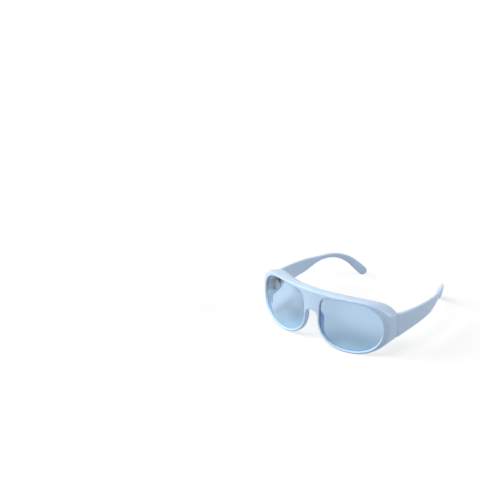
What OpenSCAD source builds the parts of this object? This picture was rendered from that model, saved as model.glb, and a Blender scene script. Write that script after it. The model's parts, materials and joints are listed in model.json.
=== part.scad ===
// Laser safety glasses: a one-piece moulded front with a brow shelf and side wings,
// two curved filter lenses in its grooves, and two wide hooked temples on barrel hinges.
// Millimetres. +X is the wearer's left, +Y is back towards the ears, +Z is up. The glasses
// rest at z = 0 on the bottoms of their rims and the tips of their temples, and the origin
// lies under their middle. Below, y is counted from the front of the bridge, and the module
// centred moves each piece to its place.

/* [Front] */
// Radius of the wrap of the front, seen from above
wrap_r = 150; // [125:1:190]
// Width of each lens opening, measured along the wrap
opening_w = 62; // [57:0.5:65]
// Height of each lens opening
opening_h = 49.6; // [45:0.2:53]
// Distance between the two lens openings over the nose
bridge_w = 17.4; // [15:0.2:21]
// Width of the rim below the lens and beside the nose
rim_w = 2.6; // [2.4:0.1:3.4]
// Width of the rim on the temple side, where it rolls into the wing
side_rim_w = 5.6; // [4.6:0.1:6]
// Depth of the rim, front to back, below the lens
rim_depth = 5.8; // [5.6:0.1:7.5]
// Thickness of the bridge, front to back, on the centre line
bridge_t = 5.8; // [5.6:0.1:6.6]
// Height of the crown of the nose arch over the middle of the lenses
arch_rise = 7; // [6:0.5:9]
// Depth of the nose walls, front to back
nose_depth = 8.5; // [7.5:0.1:10.5]
// How far each nose wall spreads sideways towards the back
nose_flare = 3; // [1:0.25:4]
// Wall thickness of the brow shelf and the side wings
shell_t = 2.2; // [1.8:0.1:2.6]
// Rounding of the edge between the front face and the skin behind it
edge_round = 1.5; // [1:0.1:1.8]
// Chamfer of the opening's edges, front and back
edge_break = 0.4; // [0.2:0.05:0.45]
// Step from the opening's edge to the skin behind the front
root_set = 0.6; // [0.5:0.05:0.8]
// Depth of the small flat that each rim rests on
foot_cut = 0.1; // [0.05:0.05:0.2]
// Height of the brow shelf's rear edge at the bridge
brow_z = 56; // [54:0.5:58]
// How far the shelf's rear edge falls from the bridge to the corner
brow_drop = 8; // [5:0.5:10]
// How far the brow shelf bulges up between its front and rear edges
shelf_crown = 1; // [0:0.1:1.5]
// Squareness of the opening's upper corner by the nose
upper_nose_square = 5; // [3:0.1:6]
// Squareness of the opening's upper corner by the temple
upper_side_square = 2.4; // [2:0.1:3.4]
// Squareness of the opening's lower corners
lower_square = 2.2; // [2:0.05:2.6]
// Squareness of the brow's outer corner
brow_square = 3.15; // [2.8:0.05:4.2]

/* [Lens] */
// Thickness of the lens
lens_t = 2.2; // [1.8:0.1:2.4]
// How far the lens reaches into the groove of the rim
lens_bite = 1.2; // [0.8:0.1:1.3]
// Clearance round the lens in its groove
lens_gap = 0.1; // [0.05:0.05:0.15]
// Depth of the lip in front of the lens
lip_t = 1.8; // [1.4:0.1:2]
// Depth of the lip behind the lens
back_lip = 1; // [0.8:0.1:1.2]
// How far the middle of the lens stands in front of its edge
lens_raise = 0.6; // [0.2:0.1:1]
// Width of the bevel round the raised middle
lens_bevel = 1.6; // [1:0.1:2.5]

/* [Joint] */
// Length of each wing, from the rim's outer edge back to the hinge axis
wing_l = 14.8; // [13:0.2:19]
// How far the temple's outer side stands out past the rim's outer edge
wing_out = 0.5; // [0:0.1:1.5]
// Height of the middle of the hinge
hinge_z = 28.4; // [27:0.1:30]
// Height of the joint between wing and temple
joint_h = 23.2; // [21:0.2:26]
// Gap between wing and temple when open
joint_gap = 0.3; // [0.3:0.05:0.6]
// Thickness of the wing's end and of the temple's root
root_t = 3.8; // [3.6:0.1:4.6]
// Outward lean of the temples where they leave the hinges, in degrees
splay = 7.75; // [4:0.25:10]

/* [Hinge] */
// Height of one of the five barrels
barrel_h = 2.1; // [1.6:0.1:2.4]
// Gap between neighbouring barrels
barrel_gap = 0.1; // [0.06:0.02:0.2]
// Radius of a barrel
barrel_r = 1.7; // [1.5:0.05:1.9]
// Radius of the pivot screw
pivot_r = 0.7; // [0.6:0.05:0.85]
// Running clearance round the pivot screw and the leaf screws
screw_gap = 0.05; // [0.03:0.01:0.08]
// Clearance between the barrels and the plastic beside them
knuckle_gap = 0.4; // [0.3:0.05:0.6]
// Thickness of a hinge leaf
leaf_t = 0.9; // [0.8:0.05:1.1]
// Length of a hinge leaf from the axis
leaf_l = 9; // [8.5:0.5:10]
// Radius of a leaf screw
leaf_screw_r = 0.6; // [0.5:0.05:0.7]
// Distance of the first leaf screw from the axis
leaf_screw_v = 4.2; // [3.8:0.1:4.4]
// Distance between the two leaf screws
leaf_screw_step = 2.8; // [2.5:0.1:3]
// How deep the leaf screws reach into the plastic
leaf_screw_l = 2.2; // [1.8:0.1:2.4]
// Height of the screw heads on the leaves
leaf_head_h = 0.5; // [0.4:0.05:0.6]
// Height of the pivot screw's head
pivot_head_h = 0.8; // [0.6:0.1:1]
// Width of the slot in each screw head
slot_w = 0.35; // [0.25:0.05:0.4]
// Margin of plastic round each front leaf
pad_margin = 1.1; // [0.9:0.1:1.4]

/* [Temple] */
// Length of the temple's straight run along its spine
run_l = 87.5; // [80:0.5:94]
// Upward slope of the straight run, in degrees
rise = -1; // [-2:0.25:2]
// Radius of the bend over the ear
ear_r = 49; // [40:1:52]
// Angle that the hook turns down, in degrees
ear_angle = 43.5; // [40:0.5:50]
// Angle that the temple curls in towards the head by its tip, in degrees
curl = 52; // [42:1:58]
// Loss of height along the wide part of the temple, per millimetre
taper = 0.16; // [0.1:0.01:0.2]
// Where the temple starts to narrow, from the hinge
swoop_from = 54; // [35:1:60]
// Where the temple is narrow, from the hinge
swoop_to = 86.5; // [78:0.5:96]
// Share of the narrowing that the lower edge takes more than the upper edge
swoop_lift = 0.48; // [-0.4:0.02:0.6]
// Height of the temple at its narrow neck, over the ear
neck_h = 4.5; // [3.6:0.1:6.4]
// Length of the neck before it widens to the paddle
neck_l = 5.5; // [4:0.5:14]
// Height of the rounded paddle at the tip
tip_h = 9.6; // [7:0.2:10.4]
// Thickness of the temple at its tip
tip_t = 3; // [2.4:0.1:3.6]

/* [Hidden] */

plastic = [0.80, 0.87, 0.94];
filter = [0.62, 0.78, 0.93, 0.5];
steel = [0.72, 0.73, 0.75];

opening_a = opening_w / 2;
opening_b = opening_h / 2;
lens_s = bridge_w / 2 + opening_a;
lens_z = rim_w + opening_b - foot_cut;
brow_front = opening_b + rim_w;
lens_back = lip_t + lens_t + 2 * lens_gap;
plate_t = lens_back + back_lip;
groove = lens_bite + lens_gap;

function smooth(u) = let (c = min(max(u, 0), 1)) c * c * (3 - 2 * c);
function blend(a, b, u) = a + (b - a) * u;
function bezier(a, b, c, u) = blend(blend(a, b, u), blend(b, c, u), u);

// Radius of a superellipse with half axes a and b and squareness n, in direction t
function super_r(t, a, b, n) = pow(pow(abs(cos(t)) / a, n) + pow(abs(sin(t)) / b, n), -1 / n);

// Lens opening and outer edge of the front, in direction t from the middle of the lens, with
// t = 0 towards the temple. The top edge runs straight over the nose and to the brow's corner.
function opening_r(t) = super_r(t, opening_a, opening_b,
    sin(t) < 0 ? lower_square : cos(t) < 0 ? upper_nose_square : upper_side_square);
function side_share(t) = pow(max(cos(t), 0), 3);
function low_r(t) = opening_r(t) + blend(rim_w, side_rim_w, side_share(t));
function top_r(t) = cos(t) < 0 ? brow_front / sin(t)
    : super_r(t, opening_a + side_rim_w, brow_front, brow_square);
function outer_r(t) = sin(t) < 0 ? low_r(t) : top_r(t);
function bend(t) =
    blend(edge_round / (sin(t) > 0.4 ? sin(t) : 1), side_rim_w - 2 * edge_break, side_share(t));

// End of the flat face on the top edge and the side, where the rounded edge starts
function face_end(t, r) = t > 90
    ? wrapped(lens_s + r * cos(t), lens_z + r * sin(t) - edge_round, 0)
    : rim_point(t, r - bend(t), 0);

// A point on the wrapped front: s along the wrap, z up, d behind the front face
function wrapped(s, z, d) =
    let (turn = s / wrap_r * 180 / PI)
    [(wrap_r - d) * sin(turn), wrap_r - (wrap_r - d) * cos(turn), z];
function rim_point(t, r, d) = wrapped(lens_s + r * cos(t), lens_z + r * sin(t), d);

// Hinge frame: u outward, v back along the open temple, w up, from the middle of the pivot
knuckle = barrel_r + knuckle_gap;
root_in = knuckle;
root_out = root_in + root_t;
side_edge = wrapped(lens_s + opening_a + side_rim_w, 0, 0);
axis_x = side_edge[0] + wing_out - root_out;
hinge_y = side_edge[1] + wing_l;
wing_end = -joint_gap / 2;
function at_hinge(p) =
    [axis_x + p[0] * cos(splay) + p[1] * sin(splay),
     hinge_y - p[0] * sin(splay) + p[1] * cos(splay),
     hinge_z + p[2]];
module to_hinge() translate([axis_x, hinge_y, hinge_z]) rotate([0, 0, -splay]) children();
module mirrored() mirror([1, 0, 0]) children();
module centred() translate([0, -depth / 2, 0]) children();

// Rear edge of the brow shelf, from the bridge to the wing's upper corner
corner = wing_corner(1);
corner_drop = brow_z - brow_drop - corner[2];
function shelf_share(x) = (1 - cos(180 * min(x / corner[0], 1))) / 2;
function shelf_edge(x) =
    [x,
     bridge_t + (corner[1] - bridge_t) * pow(shelf_share(x), 1.1),
     brow_z - brow_drop * shelf_share(x)
         - corner_drop * pow(max((x / corner[0] - 0.7) / 0.3, 0), 3)];

// One ray of the front: direction from the middle of the lens, end of the flat face, outer
// edge, rear outer point, rear inner point, and root of the skin behind the front plate.
// A ray on the centre line, where the two halves meet, has true next, and once more between
// the bridge's top and bottom, where its front face has no rounded edge. The nose walls run
// straight back past the lens and flare only behind it, so their rays add the point between.
wing_top_t = 20;
wing_low_t = -24;
bridge_t0 = atan2(brow_front, -lens_s);
crown_fade_t = 30;
seam_w = edge_break;
side_start_t = 300;
side_power = 2;
nose_fade_t = 50;
arch_r = bridge_w / 2 - rim_w;
arch_z = arch_rise - arch_r;
arch_start_t = atan2(arch_rise + 2 * edge_round, -opening_a);
arch_end_t = atan2(arch_z, arch_r - lens_s) + (arch_z < 0 ? 360 : 0);

function inward(p, t, wall) = p - wall * [cos(t), 0, sin(t)];
function skin_root(t, r) = rim_point(t, max(opening_r(t) + root_set, r - shell_t), plate_t);
function lens_side(t, d) = rim_point(t, opening_r(t) + root_set, d);

// Outer and inner edge of the wing's end, with w from -1 at its lower end to 1 at its top
function wing_corner(w) =
    at_hinge([root_out - edge_break * pow(abs(w), 6), wing_end, w * joint_h / 2]);
function wing_inner(w) = at_hinge([root_in, wing_end, w * (joint_h / 2 - 2 * edge_break)]);

function wing_ray(u) =
    let (t = blend(wing_low_t, wing_top_t, u), r = outer_r(t))
    [t, rim_point(t, r - bend(t), 0), rim_point(t, r, 0),
     wing_corner(2 * u - 1), wing_inner(2 * u - 1), skin_root(t, r), false];

function shelf_ray(t) =
    let (r = outer_r(t), front = rim_point(t, r, 0), wing = smooth((t - wing_top_t) / 45),
         p = shelf_edge(blend(corner[0], front[0], wing)),
         crown = shelf_crown * smooth((t - wing_top_t) / crown_fade_t)
             * smooth((bridge_t0 - t) / crown_fade_t))
    [t, face_end(t, r), front, p,
     blend(p + wing_inner(1) - wing_corner(1), inward(p, t, shell_t), wing),
     skin_root(t, r), false, blend(front, p, 0.5) + [0, 0, crown]];

function bridge_ray(u) =
    let (z = lens_z + blend(brow_front, arch_rise, u), t = blend(bridge_t0, arch_start_t, u),
         zb = blend(brow_z, lens_z + arch_rise, u), round_z = edge_round * (2 * u - 1))
    [t, wrapped(blend(seam_w, rim_w, sin(180 * u)), z + round_z, 0), [0, 0, z], [0, bridge_t, zb],
     blend(inward([0, bridge_t, zb], t, shell_t), lens_side(t, bridge_t), smooth(u)),
     rim_point(t, opening_r(t) + root_set, plate_t), true, u > 0 && u < 1];

function arch_ray(u) =
    let (q = 90 * (1 - u), ring = [cos(q), sin(q)], p = arch_r * ring,
         f = (arch_r + edge_round) * ring, t = blend(arch_start_t, arch_end_t, u),
         deep = blend(bridge_t, nose_depth, smooth(u)), spread = [nose_flare * smooth(u), 0, 0])
    [t, wrapped(f[0], lens_z + arch_z + f[1], 0), wrapped(p[0], lens_z + arch_z + p[1], 0),
     wrapped(p[0], lens_z + arch_z + p[1], deep) + spread, lens_side(t, deep) + spread,
     rim_point(t, opening_r(t) + root_set, plate_t), false,
     wrapped(p[0], lens_z + arch_z + p[1], plate_t)];

function low_ray(t) =
    let (r = low_r(t), nose = 1 - smooth((t - arch_end_t) / nose_fade_t),
         side = pow(max(t - side_start_t, 0) / (wing_low_t + 360 - side_start_t), side_power),
         deep = blend(rim_depth, nose_depth, nose), spread = [nose_flare * nose, 0, 0])
    [t, rim_point(t, r - bend(t), 0), rim_point(t, r, 0),
     blend(rim_point(t, r, deep) + spread, wing_corner(-1), side),
     blend(lens_side(t, deep) + spread, wing_inner(-1), side),
     blend(rim_point(t, opening_r(t) + root_set, min(plate_t, deep - edge_break)),
           skin_root(t, r), side), false,
     blend(rim_point(t, r, min(plate_t, deep - edge_break)),
           blend(rim_point(t, r, 0), wing_corner(-1), 0.7), side)];

wing_n = 10;
shelf_n = 32;
bridge_n = 6;
arch_n = 9;
low_n = 28;
side_n = 18;
rays = concat(
    [for (i = [0 : wing_n]) wing_ray(i / wing_n)],
    [for (i = [1 : shelf_n - 1]) shelf_ray(blend(wing_top_t, bridge_t0, i / shelf_n))],
    [for (i = [0 : bridge_n]) bridge_ray(i / bridge_n)],
    [for (i = [1 : arch_n]) arch_ray(i / arch_n)],
    [for (i = [1 : low_n]) low_ray(blend(arch_end_t, 270, i / low_n))],
    [for (i = [1 : side_n - 1]) low_ray(blend(270, wing_low_t + 360, i / side_n))]);

// Closed outline of the moulding on one ray: lip, face, rounded edge, skin, rim and groove
function front_outline(ray) =
    let (t = ray[0], edge = ray[2], back = ray[3], inner = ray[4], root = ray[5],
         a = opening_r(t), start = ray[6] ? [0, 0, ray[1][2]] : ray[1], flat = ray[6] && ray[7],
         skin = blend(edge, back, min(1.2 * norm(edge - start) / norm(back - edge), 0.4)))
    [rim_point(t, a, edge_break),
     rim_point(t, a + edge_break, 0),
     ray[1],
     flat ? start : bezier(start, edge, skin, ray[6] ? 0.12 : 0.33),
     bezier(start, edge, skin, 0.67),
     skin,
     len(ray) > 7 && !ray[6] ? ray[7] : blend(skin, back, 0.5),
     back,
     inner,
     blend(inner, root, 0.5),
     root,
     rim_point(t, a + edge_break, plate_t),
     rim_point(t, a, plate_t - edge_break),
     rim_point(t, a, lens_back),
     rim_point(t, a + groove, lens_back),
     rim_point(t, a + groove, lip_t),
     rim_point(t, a, lip_t)];

module front_shell() {
    outlines = [for (ray = rays) front_outline(ray)];
    k = len(outlines[0]);
    m = len(outlines);
    half = [for (o = outlines) each o];
    n = len(half);
    // Between two rays on the centre line the skin is left out, because the halves meet there
    quads = [for (i = [0 : m - 1], j = [0 : k - 1])
        if (!(rays[i][6] && rays[(i + 1) % m][6] && j >= 3 && j < 7))
            [i * k + j, (i + 1) % m * k + j, (i + 1) % m * k + (j + 1) % k, i * k + (j + 1) % k]];
    left = [for (q = quads) each
        norm(half[q[0]] - half[q[2]]) < norm(half[q[1]] - half[q[3]])
            ? [[q[0], q[1], q[2]], [q[0], q[2], q[3]]]
            : [[q[0], q[1], q[3]], [q[1], q[2], q[3]]]];
    right = [for (f = left) [f[2] + n, f[1] + n, f[0] + n]];
    polyhedron(concat(half, [for (p = half) [-p[0], p[1], p[2]]]), concat(left, right));
}

// Hinge: barrels one, three and five belong to the front, two and four to the temple
barrel_step = barrel_h + barrel_gap;
hinge_h = 5 * barrel_h + 4 * barrel_gap;
screw_v = [leaf_screw_v, leaf_screw_v + leaf_screw_step];
front_barrels = [0, 2, 4];
temple_barrels = [1, 3];

// The pad inside the wing that carries the front leaf
pad_l = leaf_l + pad_margin;
pad_h = hinge_h + 2 * pad_margin;
module hinge_pad()
    translate([root_in, -pad_l, -pad_h / 2])
        cube([root_t - pad_margin, pad_l + wing_end - edge_break, pad_h]);

module leaf_screw_holes(side) for (v = screw_v)
    translate([root_in - leaf_screw_l, side * v, 0]) rotate([0, 90, 0])
        cylinder(r = leaf_screw_r + screw_gap, h = 2 * leaf_screw_l + 4 * screw_gap, $fn = 32);

module front_frame() color(plastic) centred() difference() {
    union() {
        front_shell();
        to_hinge() hinge_pad();
        mirrored() to_hinge() hinge_pad();
    }
    translate([-axis_x, -rim_w, -rim_w]) cube([2 * axis_x, hinge_y, rim_w]);
    to_hinge() leaf_screw_holes(-1);
    mirrored() to_hinge() leaf_screw_holes(-1);
}

web_l = knuckle + leaf_t / 2;

// Leaf plate with its barrels, side -1 in front of the axis and 1 behind it
module hinge_leaf(side, barrels) difference() {
    union() {
        translate([root_in - leaf_t, side > 0 ? knuckle : -leaf_l, -hinge_h / 2])
            cube([leaf_t, leaf_l - knuckle, hinge_h]);
        for (i = barrels) translate([0, 0, i * barrel_step - hinge_h / 2]) {
            cylinder(r = barrel_r, h = barrel_h, $fn = 48);
            translate([barrel_r - leaf_t, side > 0 ? 0 : -web_l, 0])
                cube([leaf_t, web_l, barrel_h]);
        }
    }
    translate([0, 0, -hinge_h])
        cylinder(r = pivot_r + screw_gap, h = 2 * hinge_h, $fn = 48);
    for (v = screw_v) translate([root_in - 2 * leaf_t, side * v, 0]) rotate([0, 90, 0])
        cylinder(r = leaf_screw_r + screw_gap, h = 3 * leaf_t, $fn = 32);
}

pivot_head_r = 0.85 * barrel_r;
module pivot_screw() difference() {
    union() {
        translate([0, 0, -hinge_h / 2 - 2 * barrel_gap])
            cylinder(r = pivot_r, h = hinge_h + 4 * barrel_gap, $fn = 48);
        translate([0, 0, hinge_h / 2]) cylinder(r = pivot_head_r, h = pivot_head_h, $fn = 48);
    }
    translate([-2 * pivot_head_r, -slot_w / 2, hinge_h / 2 + pivot_head_h / 2])
        cube([4 * pivot_head_r, slot_w, pivot_head_h]);
}

leaf_head_r = 2 * leaf_screw_r;
module leaf_screws(side) for (v = screw_v)
    translate([root_in - leaf_t, side * v, 0]) rotate([0, 90, 0]) difference() {
        union() {
            cylinder(r = leaf_screw_r, h = leaf_t + leaf_screw_l, $fn = 32);
            translate([0, 0, -leaf_head_h]) cylinder(r = leaf_head_r, h = leaf_head_h, $fn = 32);
        }
        translate([-2 * leaf_head_r, -slot_w / 2, -1.5 * leaf_head_h])
            cube([4 * leaf_head_r, slot_w, leaf_head_h]);
    }

module hinge_front_leaf_left() color(steel) centred() to_hinge() hinge_leaf(-1, front_barrels);
module hinge_front_leaf_right() mirrored() hinge_front_leaf_left();
module hinge_temple_leaf_left() color(steel) centred() to_hinge() hinge_leaf(1, temple_barrels);
module hinge_temple_leaf_right() mirrored() hinge_temple_leaf_left();
module pivot_screw_left() color(steel) centred() to_hinge() pivot_screw();
module pivot_screw_right() mirrored() pivot_screw_left();
module front_leaf_screws_left() color(steel) centred() to_hinge() leaf_screws(-1);
module front_leaf_screws_right() mirrored() front_leaf_screws_left();
module temple_leaf_screws_left() color(steel) centred() to_hinge() leaf_screws(1);
module temple_leaf_screws_right() mirrored() temple_leaf_screws_left();

// Lens: rings of points from the middle of its front over its edge to the middle of its back,
// each given by its distance in from the edge of the opening and its depth
lens_n = 64;
lens_d = lip_t + lens_gap;
lens_in = lens_gap + lens_bevel;
function lens_ring(share, inset, d) = [for (i = [0 : lens_n - 1])
    let (t = 360 * i / lens_n) rim_point(t, share * (opening_r(t) - inset), d)];

module lens() {
    rings = [lens_ring(1 / 3, lens_in, lens_d - lens_raise), lens_ring(2 / 3, lens_in, lens_d - lens_raise),
             lens_ring(1, lens_in, lens_d - lens_raise), lens_ring(1, lens_gap, lens_d),
             lens_ring(1, -lens_bite, lens_d), lens_ring(1, -lens_bite, lens_d + lens_t),
             lens_ring(2 / 3, -lens_bite, lens_d + lens_t), lens_ring(1 / 3, -lens_bite, lens_d + lens_t)];
    m = len(rings);
    points = concat([for (r = rings) each r],
                    [rim_point(0, 0, lens_d - lens_raise), rim_point(0, 0, lens_d + lens_t)]);
    sides = [for (j = [0 : m - 2], i = [0 : lens_n - 1])
        let (a = j * lens_n + i, b = j * lens_n + (i + 1) % lens_n)
        each [[a, b, b + lens_n], [a, b + lens_n, a + lens_n]]];
    caps = [for (i = [0 : lens_n - 1])
        let (e = (m - 1) * lens_n, j = (i + 1) % lens_n)
        each [[m * lens_n, j, i], [m * lens_n + 1, e + i, e + j]]];
    polyhedron(points, concat(sides, caps));
}

module lens_left() color(filter) centred() lens();
module lens_right() mirrored() lens_left();

// Temple: a spine of short steps that curls in and bends down over the ear and on
// down to the table, which sets the length of its hook
tip_lift = 0.04;
ear_l = ear_r * ear_angle * PI / 180;
ear_end_z = hinge_z + run_l * sin(rise) + lift(swoop_to)
    - ear_r * (cos(rise) - cos(ear_angle - rise));
hook_l = tip_h / 2 + (ear_end_z - tip_h / 2 - tip_lift) / sin(ear_angle - rise);
temple_l = run_l + ear_l + hook_l;
tip_from = temple_l - tip_h / 2;
function tip_fall(s) = 1 - pow(max(s - tip_from, 0) / (tip_h / 2), 2);
function body_h(s) =
    blend(joint_h - taper * s, neck_h, smooth((s - swoop_from) / (swoop_to - swoop_from)));
function lift(s) = swoop_lift * (body_h(swoop_from) - body_h(min(max(s, swoop_from), swoop_to))) / 2;
function temple_h(s) =
    blend(body_h(s), tip_h, smooth((s - swoop_to - neck_l) / (0.9 * (temple_l - swoop_to - neck_l))))
        * sqrt(max(tip_fall(s), 0.01));
function temple_t(s) = blend(root_t, tip_t, smooth(s / 40)) * pow(max(tip_fall(s), 0.03), 0.3);
function dip(s) = ear_angle * min(max((s - run_l) / ear_l, 0), 1);
function plan(s) = min(s, run_l) + ear_r * sin(dip(s)) + max(s - run_l - ear_l, 0) * cos(ear_angle);
function turn_in(s) = curl * pow(plan(s) / plan(temple_l), 1.6);
function heading(s) =
    let (a = turn_in(s), b = dip(s) - rise) [-sin(a) * cos(b), cos(a) * cos(b), -sin(b)];

temple_n = 38;
stations = concat([for (i = [0 : temple_n - 1]) tip_from * i / temple_n],
                  [for (q = [0 : 15 : 75]) tip_from + tip_h / 2 * sin(q)], [temple_l]);
function spine(i) = i == 0 ? [(root_in + root_out) / 2, joint_gap / 2, 0]
    : spine(i - 1) + (stations[i] - stations[i - 1]) * heading((stations[i] + stations[i - 1]) / 2);

// Rounded section of the temple at one station. The first lies square to the joint.
section_n = 14;
root_soft = 0.15;
edge_soft = 0.4;
soften_l = 18;
function temple_section(i) =
    let (s = stations[i], c = spine(i) + [0, 0, lift(s)], a = turn_in(s), side = [cos(a), sin(a), 0],
         up = i == 0 ? [0, 0, 1] : cross(side, heading(s)),
         soft = blend(root_soft, edge_soft, smooth(s / soften_l)))
    [for (k = [0 : section_n - 1])
        let (q = 360 * (k + 0.5) / section_n,
             x = sign(cos(q)) * pow(abs(cos(q)), soft) * temple_t(s) / 2,
             y = sign(sin(q)) * pow(abs(sin(q)), soft) * temple_h(s) / 2)
        at_hinge(c + x * side + y * up)];

temple_rows = [for (i = [0 : len(stations) - 1]) temple_section(i)];
depth = max([for (r = temple_rows, p = r) p[1]]);

module temple_bar() {
    m = len(temple_rows);
    k = section_n;
    walls = [for (j = [0 : m - 2], i = [0 : k - 1])
        let (a = j * k + i, b = j * k + (i + 1) % k)
        each [[a, b, b + k], [a, b + k, a + k]]];
    ends = [[for (i = [0 : k - 1]) k - 1 - i], [for (i = [0 : k - 1]) (m - 1) * k + i]];
    polyhedron([for (r = temple_rows) each r], concat(walls, ends));
}

module temple_left() color(plastic) centred() difference() {
    temple_bar();
    to_hinge() leaf_screw_holes(1);
}
module temple_right() mirrored() temple_left();

front_frame();
lens_left();
lens_right();
temple_left();
temple_right();
hinge_front_leaf_left();
hinge_front_leaf_right();
hinge_temple_leaf_left();
hinge_temple_leaf_right();
pivot_screw_left();
pivot_screw_right();
front_leaf_screws_left();
front_leaf_screws_right();
temple_leaf_screws_left();
temple_leaf_screws_right();
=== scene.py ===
"""Laser safety glasses: finished pieces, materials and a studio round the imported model.

Lengths are metres in the model's own frame: +X is the wearer's left, +Y is back towards the
ears, +Z is up, and the glasses stand on z = 0 with their middle over the origin.
"""
import json
import math

import bpy
from mathutils import Matrix, Vector

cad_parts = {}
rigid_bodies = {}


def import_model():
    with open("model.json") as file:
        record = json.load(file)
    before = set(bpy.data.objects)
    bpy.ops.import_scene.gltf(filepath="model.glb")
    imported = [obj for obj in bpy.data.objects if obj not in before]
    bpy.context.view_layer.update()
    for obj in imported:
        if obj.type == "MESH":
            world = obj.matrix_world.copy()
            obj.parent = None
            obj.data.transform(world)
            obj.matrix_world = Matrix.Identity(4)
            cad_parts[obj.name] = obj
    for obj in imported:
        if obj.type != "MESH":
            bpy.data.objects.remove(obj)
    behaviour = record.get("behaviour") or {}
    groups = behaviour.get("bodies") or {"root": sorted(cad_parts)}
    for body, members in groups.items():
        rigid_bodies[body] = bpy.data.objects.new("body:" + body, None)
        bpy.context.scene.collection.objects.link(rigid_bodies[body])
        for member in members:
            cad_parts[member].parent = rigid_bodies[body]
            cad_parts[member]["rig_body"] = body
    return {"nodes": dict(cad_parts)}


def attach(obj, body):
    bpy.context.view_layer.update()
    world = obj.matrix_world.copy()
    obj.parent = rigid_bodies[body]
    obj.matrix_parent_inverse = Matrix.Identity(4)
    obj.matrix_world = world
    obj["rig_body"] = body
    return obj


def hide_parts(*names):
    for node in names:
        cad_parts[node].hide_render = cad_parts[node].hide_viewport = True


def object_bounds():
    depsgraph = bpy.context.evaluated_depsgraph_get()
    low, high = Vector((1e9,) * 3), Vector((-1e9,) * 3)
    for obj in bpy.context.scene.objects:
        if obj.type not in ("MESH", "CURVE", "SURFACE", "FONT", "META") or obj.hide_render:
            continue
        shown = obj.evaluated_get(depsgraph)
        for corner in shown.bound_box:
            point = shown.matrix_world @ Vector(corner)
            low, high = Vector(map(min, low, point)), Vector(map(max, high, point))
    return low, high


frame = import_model()
CAD_LOW, CAD_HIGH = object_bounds()

bl_info = {
    "name": "Laser safety glasses",
    "version": (1, 0, 0),
    "blender": (4, 5, 0),
    "location": "View3D > Sidebar > Glasses",
    "description": "Builds the finished laser safety glasses and their studio",
    "category": "Add Mesh",
}

MM = 0.001
PHOTO_SIZE = 480
SENSOR = 36.0
SIDES = ("left", "right")
WHITE = (1.0, 1.0, 1.0, 1.0)
NOISE_MIDDLE = 0.5
MERGE_DISTANCE = 0.002 * MM
QUAD_ANGLE = math.radians(40)


# Shader maths

# Places of the colour sockets in a Mix node
MIX_FACTOR, MIX_FIRST, MIX_SECOND, MIX_RESULT = 0, 6, 7, 2


class Value:
    """A number that flows between shader nodes and is written in sums like any number"""

    def __init__(self, paint, socket):
        self.paint = paint
        self.socket = socket

    def math(self, operation, first, second):
        return self.paint.node("ShaderNodeMath", [first, second], operation=operation)

    def __add__(self, other):
        return self.math("ADD", self, other)

    def __sub__(self, other):
        return self.math("SUBTRACT", self, other)

    def __rsub__(self, other):
        return self.math("SUBTRACT", other, self)

    def __mul__(self, other):
        return self.math("MULTIPLY", self, other)

    __radd__ = __add__
    __rmul__ = __mul__


class Paint:
    """The shader nodes of a new material or world, filled from the surface shader backwards"""

    def __init__(self, name, kind="materials"):
        self.owner = getattr(bpy.data, kind).new(name)
        self.owner.use_nodes = True
        self.tree = self.owner.node_tree
        self.output = next(node for node in self.tree.nodes if node.type.startswith("OUTPUT"))
        self.surface = self.output.inputs["Surface"].links[0].from_node

    def give(self, socket, value):
        if isinstance(value, Value):
            self.tree.links.new(value.socket, socket)
        else:
            socket.default_value = value

    def node(self, kind, inputs=(), output=0, **options):
        """Adds a node: its options first, then its inputs by place or by name"""
        made = self.tree.nodes.new(kind)
        for key, value in options.items():
            setattr(made, key, value)
        pairs = inputs.items() if isinstance(inputs, dict) else enumerate(inputs)
        for key, value in pairs:
            self.give(made.inputs[key], value)
        return Value(self, made.outputs[output])

    def mix(self, factor, first, second):
        """A colour between two colours"""
        inputs = {MIX_FACTOR: factor, MIX_FIRST: first, MIX_SECOND: second}
        return self.node("ShaderNodeMix", inputs, MIX_RESULT, data_type="RGBA")

    def noise(self, scale, detail=2.0, stretch=None):
        """Noise in the object's own coordinates, with scale in waves a metre"""
        where = self.node("ShaderNodeTexCoord", output="Object")
        if stretch:
            where = self.node("ShaderNodeMapping", {"Vector": where, "Scale": stretch})
        return self.node("ShaderNodeTexNoise", {"Vector": where, "Scale": scale, "Detail": detail})

    def ramp(self, value, low, high):
        """Maps low to high onto 0 to 1, smoothly"""
        return self.node(
            "ShaderNodeMapRange", [value, low, high], interpolation_type="SMOOTHSTEP")

    def bump(self, height, distance, strength=1.0):
        inputs = {"Strength": strength, "Distance": distance, "Height": height}
        return self.node("ShaderNodeBump", inputs)

    def finish(self, **sockets):
        """Sets the surface shader's sockets, named with underscores for spaces"""
        for key, value in sockets.items():
            self.give(self.surface.inputs[key.replace("_", " ")], value)
        return self.owner

    def blend(self, factor, other):
        """Ends in a mix of the surface shader and another shader"""
        surface = Value(self, self.surface.outputs[0])
        mixed = self.node("ShaderNodeMixShader", [factor, surface, other])
        self.give(self.output.inputs["Surface"], mixed)
        return self.owner

    def seeing_rays(self):
        """Two factors: 1 for rays from the camera or a gloss, and 1 for rays through a filter"""
        path = self.tree.nodes.new("ShaderNodeLightPath")
        through = Value(self, path.outputs["Is Transmission Ray"])
        camera = Value(self, path.outputs["Is Camera Ray"])
        return camera + Value(self, path.outputs["Is Glossy Ray"]) * (1 - through), through


def rgba(colour):
    return (*colour, 1.0)


# Sizes and colours that a user would change

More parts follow.
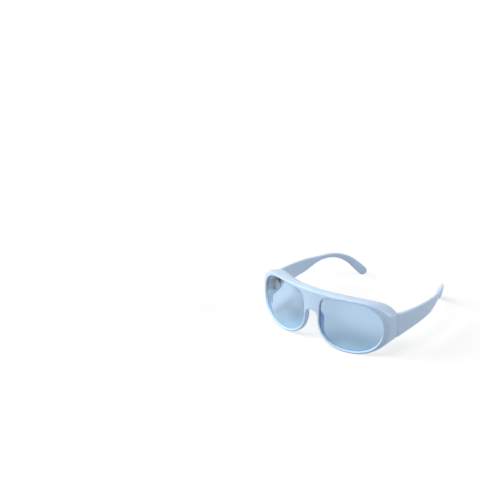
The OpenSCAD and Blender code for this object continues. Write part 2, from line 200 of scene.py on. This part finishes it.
class PlasticLook(bpy.types.PropertyGroup):
    """The moulded plastic of the front and the temples"""
    colour: bpy.props.FloatVectorProperty(
        name="Colour", description="Colour of the plastic", subtype="COLOR", size=3,
        default=(0.46, 0.595, 0.76))
    tone: bpy.props.FloatVectorProperty(
        name="Tone", description="Colour that faint flow marks drift to", subtype="COLOR", size=3,
        default=(0.43, 0.565, 0.74))
    roughness: bpy.props.FloatProperty(
        name="Roughness", description="Roughness of the satin skin", default=0.33, min=0.05, max=1)
    haze: bpy.props.FloatProperty(
        name="Haze", description="How far the roughness wanders over the skin", default=0.10)
    grain: bpy.props.FloatProperty(
        name="Grain", description="Depth of the fine mould texture", subtype="DISTANCE",
        default=0.012 * MM, precision=6)
    smooth_angle: bpy.props.FloatProperty(
        name="Smooth angle", description="Edges flatter than this are rounded off", subtype="ANGLE",
        default=math.radians(52))


class FilterLook(bpy.types.PropertyGroup):
    """The see-through filters"""
    tint: bpy.props.FloatVectorProperty(
        name="Tint", description="Colour of the light that comes through", subtype="COLOR", size=3,
        default=(0.46, 0.635, 0.82))
    shade: bpy.props.FloatVectorProperty(
        name="Shade", description="Colour of the lamps' light that falls through",
        subtype="COLOR", size=3, default=(0.59, 0.65, 0.63))
    roughness: bpy.props.FloatProperty(
        name="Roughness", description="Roughness of the polished faces", default=0.03, min=0, max=1)
    smear: bpy.props.FloatProperty(
        name="Smear", description="Roughness that faint smears add", default=0.03)
    index: bpy.props.FloatProperty(
        name="Index", description="Refractive index of polycarbonate", default=1.58, min=1, max=2)


class SteelLook(bpy.types.PropertyGroup):
    """The hinges and screws"""
    colour: bpy.props.FloatVectorProperty(
        name="Colour", description="Colour of the nickel plating", subtype="COLOR", size=3,
        default=(0.40, 0.43, 0.47))
    roughness: bpy.props.FloatProperty(
        name="Roughness", description="Roughness of the plating", default=0.27, min=0.05, max=1)
    stain: bpy.props.FloatProperty(
        name="Stain", description="Brightness of the plating where it is stained", default=0.8)
    drawing: bpy.props.FloatProperty(
        name="Drawing marks", description="How far the marks change the roughness", default=0.16)
    drawing_depth: bpy.props.FloatProperty(
        name="Drawing depth", description="Depth of the drawing marks", subtype="DISTANCE",
        default=0.01 * MM, precision=6)
    bevel: bpy.props.FloatProperty(
        name="Bevel", description="Broken edges of the metal parts", subtype="DISTANCE",
        default=0.08 * MM, precision=6)


class StudioLook(bpy.types.PropertyGroup):
    """The camera, floor and lamps"""
    azimuth: bpy.props.FloatProperty(
        name="Azimuth", description="Camera's turn from straight ahead", subtype="ANGLE",
        default=math.radians(41.0))
    elevation: bpy.props.FloatProperty(
        name="Elevation", description="Camera's height angle", subtype="ANGLE",
        default=math.radians(22.8))
    roll: bpy.props.FloatProperty(
        name="Roll", description="Camera's tilt about its own axis", subtype="ANGLE",
        default=math.radians(-1.0))
    distance: bpy.props.FloatProperty(
        name="Distance", description="Depth of the bridge in front of the camera",
        subtype="DISTANCE", default=0.858)
    focal_pixels: bpy.props.FloatProperty(
        name="Focal length", description="Focal length in pixels of the photograph", default=908.0)
    bridge_pixel: bpy.props.FloatVectorProperty(
        name="Bridge pixel", description="Where the floor under the bridge lies in the photograph",
        size=2, default=(310.6, 342.5))
    floor_colour: bpy.props.FloatVectorProperty(
        name="Floor", description="Colour of the floor and backdrop", subtype="COLOR", size=3,
        default=(0.81, 0.81, 0.81))
    floor_bounce: bpy.props.FloatVectorProperty(
        name="Floor bounce", description="Colour that the floor throws back onto the glasses",
        subtype="COLOR", size=3, default=(0.40, 0.40, 0.41))
    floor_size: bpy.props.FloatProperty(
        name="Floor size", description="Width of the floor", subtype="DISTANCE", default=24.0)
    floor_glow: bpy.props.FloatProperty(
        name="Floor glow", description="Share of the floor's white that no shadow darkens",
        default=0.75, min=0, max=1)
    ambient: bpy.props.FloatProperty(
        name="Ambient", description="Strength of the light from all round", default=0.05)
    sky: bpy.props.FloatVectorProperty(
        name="Sky", description="Colour of the light from all round", subtype="COLOR", size=3,
        default=(0.93, 0.97, 1.0))
    top: bpy.props.FloatProperty(
        name="Top light", description="Strength of the large light above", default=2.3)
    top_from: bpy.props.FloatVectorProperty(
        name="Top direction", description="Where the large light above comes from", size=3,
        default=(-0.12, -0.51, 0.85))
    side: bpy.props.FloatProperty(
        name="Side light", description="Strength of the light beside the glasses", default=2.7)
    side_from: bpy.props.FloatVectorProperty(
        name="Side direction", description="Where the light beside comes from", size=3,
        default=(-0.70, -0.50, 0.50))
    fill: bpy.props.FloatProperty(
        name="Fill light", description="Strength of the weak light opposite", default=1.5)
    fill_from: bpy.props.FloatVectorProperty(
        name="Fill direction", description="Where the weak light comes from", size=3,
        default=(0.82, 0.45, 0.35))
    spread: bpy.props.FloatProperty(
        name="Spread", description="Width of the lights as an angle", subtype="ANGLE",
        default=math.radians(30))


class GlassesSettings(bpy.types.PropertyGroup):
    """All that the panel shows"""
    plastic: bpy.props.PointerProperty(type=PlasticLook)
    filter: bpy.props.PointerProperty(type=FilterLook)
    steel: bpy.props.PointerProperty(type=SteelLook)
    studio: bpy.props.PointerProperty(type=StudioLook)


def settings():
    return bpy.context.scene.glasses


# Materials

def plastic_paint():
    """Satin moulded plastic with faint flow marks and a fine mould texture"""
    look = settings().plastic
    paint = Paint("moulded_plastic")
    flow_marks = paint.ramp(paint.noise(scale=28.0, stretch=(1.0, 0.6, 1.0)), low=0.35, high=0.7)
    haze = paint.noise(scale=160.0, detail=3.0)
    grain = paint.noise(scale=2600.0)
    return paint.finish(
        Base_Color=paint.mix(flow_marks, rgba(look.colour), rgba(look.tone)),
        Roughness=look.roughness + look.haze * (haze - NOISE_MIDDLE),
        Normal=paint.bump(grain, look.grain),
        IOR=1.5,
        Subsurface_Weight=0.12,
        Subsurface_Radius=(0.6, 0.8, 1.0),
        Subsurface_Scale=1.5 * MM,
        Specular_IOR_Level=0.5)


def filter_paint():
    """Clear tinted filter with polished faces, which lets the lamps' light through as well"""
    look = settings().filter
    paint = Paint("filter")
    streaks = paint.noise(scale=45.0, detail=4.0, stretch=(1.0, 1.0, 2.2))
    paint.finish(
        Base_Color=rgba(look.tint),
        Roughness=look.roughness + look.smear * paint.ramp(streaks, low=0.45, high=0.8),
        IOR=look.index,
        Transmission_Weight=1.0)
    shade = paint.node("ShaderNodeBsdfTransparent", {"Color": rgba(look.shade)})
    return paint.blend(paint.node("ShaderNodeLightPath", output="Is Shadow Ray"), shade)


def steel_paint():
    """Nickel-plated steel with fine drawing marks"""
    look = settings().steel
    paint = Paint("nickel")
    marks = paint.noise(scale=900.0, detail=3.0, stretch=(6.0, 1.0, 1.0))
    stains = paint.ramp(paint.noise(scale=300.0), low=0.3, high=0.8)
    stained = [look.stain * part for part in look.colour]
    return paint.finish(
        Base_Color=paint.mix(stains, rgba(look.colour), rgba(stained)),
        Metallic=1.0,
        Roughness=look.roughness + look.drawing * (marks - NOISE_MIDDLE),
        Normal=paint.bump(marks, look.drawing_depth, strength=0.6))


def floor_paint(look):
    """Pale floor that looks white and keeps the shadow, also through a filter"""
    paint = Paint("floor")
    direct, through = paint.seeing_rays()
    paint.finish(
        Base_Color=paint.mix(direct + through, rgba(look.floor_bounce), rgba(look.floor_colour)),
        Roughness=0.8)
    glow = paint.node("ShaderNodeEmission", {"Color": WHITE, "Strength": 1.0})
    return paint.blend(direct * look.floor_glow, glow)


# Modelling

def deselect():
    """Leaves edit mode with nothing selected"""
    if bpy.context.object and bpy.context.object.mode != "OBJECT":
        bpy.ops.object.mode_set(mode="OBJECT")
    bpy.ops.object.select_all(action="DESELECT")


def pick(piece):
    deselect()
    piece.select_set(True)
    bpy.context.view_layer.objects.active = piece


def merged_copy(node, name):
    """A copy of a CAD node's triangles, with its corners merged"""
    piece = bpy.data.objects.new(name, frame["nodes"][node].data.copy())
    piece.data.name = name
    piece.data.materials.clear()
    bpy.context.scene.collection.objects.link(piece)
    pick(piece)
    bpy.ops.object.mode_set(mode="EDIT")
    bpy.ops.mesh.select_all(action="SELECT")
    bpy.ops.mesh.remove_doubles(threshold=MERGE_DISTANCE)
    bpy.ops.object.mode_set(mode="OBJECT")
    return piece


def round_off(piece, sharp_angle):
    """Rounds a moulded piece by subdivision, with its truly sharp edges kept"""
    pick(piece)
    bpy.ops.object.mode_set(mode="EDIT")
    bpy.ops.mesh.select_all(action="SELECT")
    bpy.ops.mesh.tris_convert_to_quads(face_threshold=QUAD_ANGLE, shape_threshold=QUAD_ANGLE)
    bpy.ops.mesh.select_mode(type="EDGE")
    bpy.ops.mesh.select_all(action="DESELECT")
    bpy.ops.mesh.edges_select_sharp(sharpness=sharp_angle)
    bpy.ops.transform.edge_crease(value=1.0)
    bpy.ops.object.mode_set(mode="OBJECT")
    rounding = piece.modifiers.new("Rounding", "SUBSURF")
    rounding.levels = rounding.render_levels = 1
    bpy.ops.object.modifier_apply(modifier=rounding.name)
    bpy.ops.object.shade_smooth_by_angle(angle=sharp_angle)
    evening = piece.modifiers.new("Even shading", "WEIGHTED_NORMAL")
    evening.keep_sharp = True
    bpy.ops.object.modifier_apply(modifier=evening.name)


def break_edges(piece, width):
    """Bevels a metal piece's edges"""
    pick(piece)
    bpy.ops.object.mode_set(mode="EDIT")
    bpy.ops.mesh.select_all(action="SELECT")
    bpy.ops.mesh.dissolve_limited(angle_limit=math.radians(1))
    bpy.ops.object.mode_set(mode="OBJECT")
    bevel = piece.modifiers.new("Broken edges", "BEVEL")
    bevel.width = width
    bevel.segments = 2
    bevel.limit_method = "ANGLE"
    bevel.angle_limit = math.radians(50)
    bpy.ops.object.modifier_apply(modifier=bevel.name)
    bpy.ops.object.shade_smooth_by_angle(angle=math.radians(35))


def stand_for(piece, node, paint):
    """Gives a piece its material and its place among the bodies"""
    piece.data.materials.append(paint)
    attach(piece, frame["nodes"][node]["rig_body"])
    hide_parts(node)
    return piece


def moulded(node, paint):
    """A finished piece for a moulded plastic node"""
    piece = merged_copy(node, node + "_moulding")
    round_off(piece, settings().plastic.smooth_angle)
    return stand_for(piece, node, paint)


class GLASSES_OT_front(bpy.types.Operator):
    """Build the moulded front"""
    bl_idname = "glasses.front"
    bl_label = "Front"

    def execute(self, context):
        moulded("front_frame", plastic_paint())
        return {"FINISHED"}


class GLASSES_OT_temples(bpy.types.Operator):
    """Build both temples"""
    bl_idname = "glasses.temples"
    bl_label = "Temples"

    def execute(self, context):
        paint = plastic_paint()
        for side in SIDES:
            moulded("temple_" + side, paint)
        return {"FINISHED"}


class GLASSES_OT_filters(bpy.types.Operator):
    """Build both filters"""
    bl_idname = "glasses.filters"
    bl_label = "Filters"

    def execute(self, context):
        paint = filter_paint()
        for side in SIDES:
            node = "lens_" + side
            piece = merged_copy(node, node + "_filter")
            bpy.ops.object.shade_smooth_by_angle(angle=math.radians(20))
            stand_for(piece, node, paint)
        return {"FINISHED"}


class GLASSES_OT_hinges(bpy.types.Operator):
    """Build the hinge leaves and all screws"""
    bl_idname = "glasses.hinges"
    bl_label = "Hinges"

    def execute(self, context):
        paint = steel_paint()
        look = settings().steel
        kinds = ("hinge_front_leaf", "hinge_temple_leaf", "pivot_screw", "front_leaf_screws",
                 "temple_leaf_screws")
        for kind in kinds:
            for side in SIDES:
                node = kind + "_" + side
                piece = merged_copy(node, node + "_metal")
                break_edges(piece, look.bevel)
                stand_for(piece, node, paint)
        return {"FINISHED"}


# Stage

def camera_axes(look):
    """The camera's right, up and back directions, with its roll"""
    a, e, r = look.azimuth, look.elevation, look.roll
    back = Vector((math.sin(a) * math.cos(e), -math.cos(a) * math.cos(e), math.sin(e)))
    right = Vector((math.cos(a), math.sin(a), 0.0))
    up = back.cross(right)
    c, s = math.cos(r), math.sin(r)
    return right * c + up * s, up * c - right * s, back


def add_camera(look):
    """Puts the camera where the photograph was taken from"""
    right, up, back = camera_axes(look)
    across = (look.bridge_pixel[0] - PHOTO_SIZE / 2) / look.focal_pixels
    down = (look.bridge_pixel[1] - PHOTO_SIZE / 2) / look.focal_pixels
    bridge = Vector((0.0, CAD_LOW.y, 0.0))
    place = bridge - look.distance * (across * right - down * up - back)
    bpy.ops.object.camera_add(location=place)
    camera = bpy.context.object
    camera.rotation_euler = Matrix((right, up, back)).transposed().to_euler()
    camera.data.sensor_width = SENSOR
    camera.data.lens = look.focal_pixels * SENSOR / PHOTO_SIZE
    camera.data.clip_end = 100
    bpy.context.scene.camera = camera


def add_light(name, strength, direction, spread):
    """A large soft light from one direction"""
    deselect()
    bpy.ops.object.light_add(type="SUN", location=direction)
    lamp = bpy.context.object
    lamp.name = name
    lamp.rotation_euler = Vector(direction).to_track_quat("Z", "Y").to_euler()
    lamp.data.energy = strength
    lamp.data.angle = spread


def set_world(look):
    """Soft light from all round that the camera, glass and gloss see as white"""
    paint = Paint("studio", "worlds")
    paint.finish(Color=rgba(look.sky), Strength=look.ambient)
    direct, through = paint.seeing_rays()
    white = paint.node("ShaderNodeBackground", {"Color": WHITE, "Strength": 1.0})
    bpy.context.scene.world = paint.blend(direct + through, white)


class GLASSES_OT_stage(bpy.types.Operator):
    """Build the floor, the lamps and the camera"""
    bl_idname = "glasses.stage"
    bl_label = "Stage"

    def execute(self, context):
        look = settings().studio
        deselect()
        bpy.ops.mesh.primitive_plane_add(size=look.floor_size, location=(0, 0, 0))
        floor = context.object
        floor.name = "floor"
        floor.data.materials.append(floor_paint(look))
        add_light("top_light", look.top, look.top_from, look.spread)
        add_light("side_light", look.side, look.side_from, look.spread)
        add_light("fill_light", look.fill, look.fill_from, look.spread)
        set_world(look)
        deselect()
        add_camera(look)
        context.scene.view_settings.view_transform = "Standard"
        return {"FINISHED"}


class GLASSES_PT_panel(bpy.types.Panel):
    """Lists the pieces in the sidebar"""
    bl_idname = "GLASSES_PT_panel"
    bl_label = "Laser safety glasses"
    bl_space_type = "VIEW_3D"
    bl_region_type = "UI"
    bl_category = "Glasses"

    def draw(self, context):
        for operator in OPERATORS:
            self.layout.operator(operator.bl_idname)
        for name in ("plastic", "filter", "steel", "studio"):
            box = self.layout.box()
            look = getattr(settings(), name)
            box.label(text=name.capitalize())
            for key in look.__annotations__:
                box.prop(look, key)


OPERATORS = (GLASSES_OT_front, GLASSES_OT_temples, GLASSES_OT_filters, GLASSES_OT_hinges,
             GLASSES_OT_stage)
CLASSES = (PlasticLook, FilterLook, SteelLook, StudioLook, GlassesSettings, *OPERATORS,
           GLASSES_PT_panel)


def register():
    for item in CLASSES:
        bpy.utils.register_class(item)
    bpy.types.Scene.glasses = bpy.props.PointerProperty(type=GlassesSettings)


def unregister():
    del bpy.types.Scene.glasses
    for item in reversed(CLASSES):
        bpy.utils.unregister_class(item)


def main():
    register()
    bpy.ops.glasses.front()
    bpy.ops.glasses.temples()
    bpy.ops.glasses.filters()
    bpy.ops.glasses.hinges()
    bpy.ops.glasses.stage()


if __name__ == "__main__":
    main()
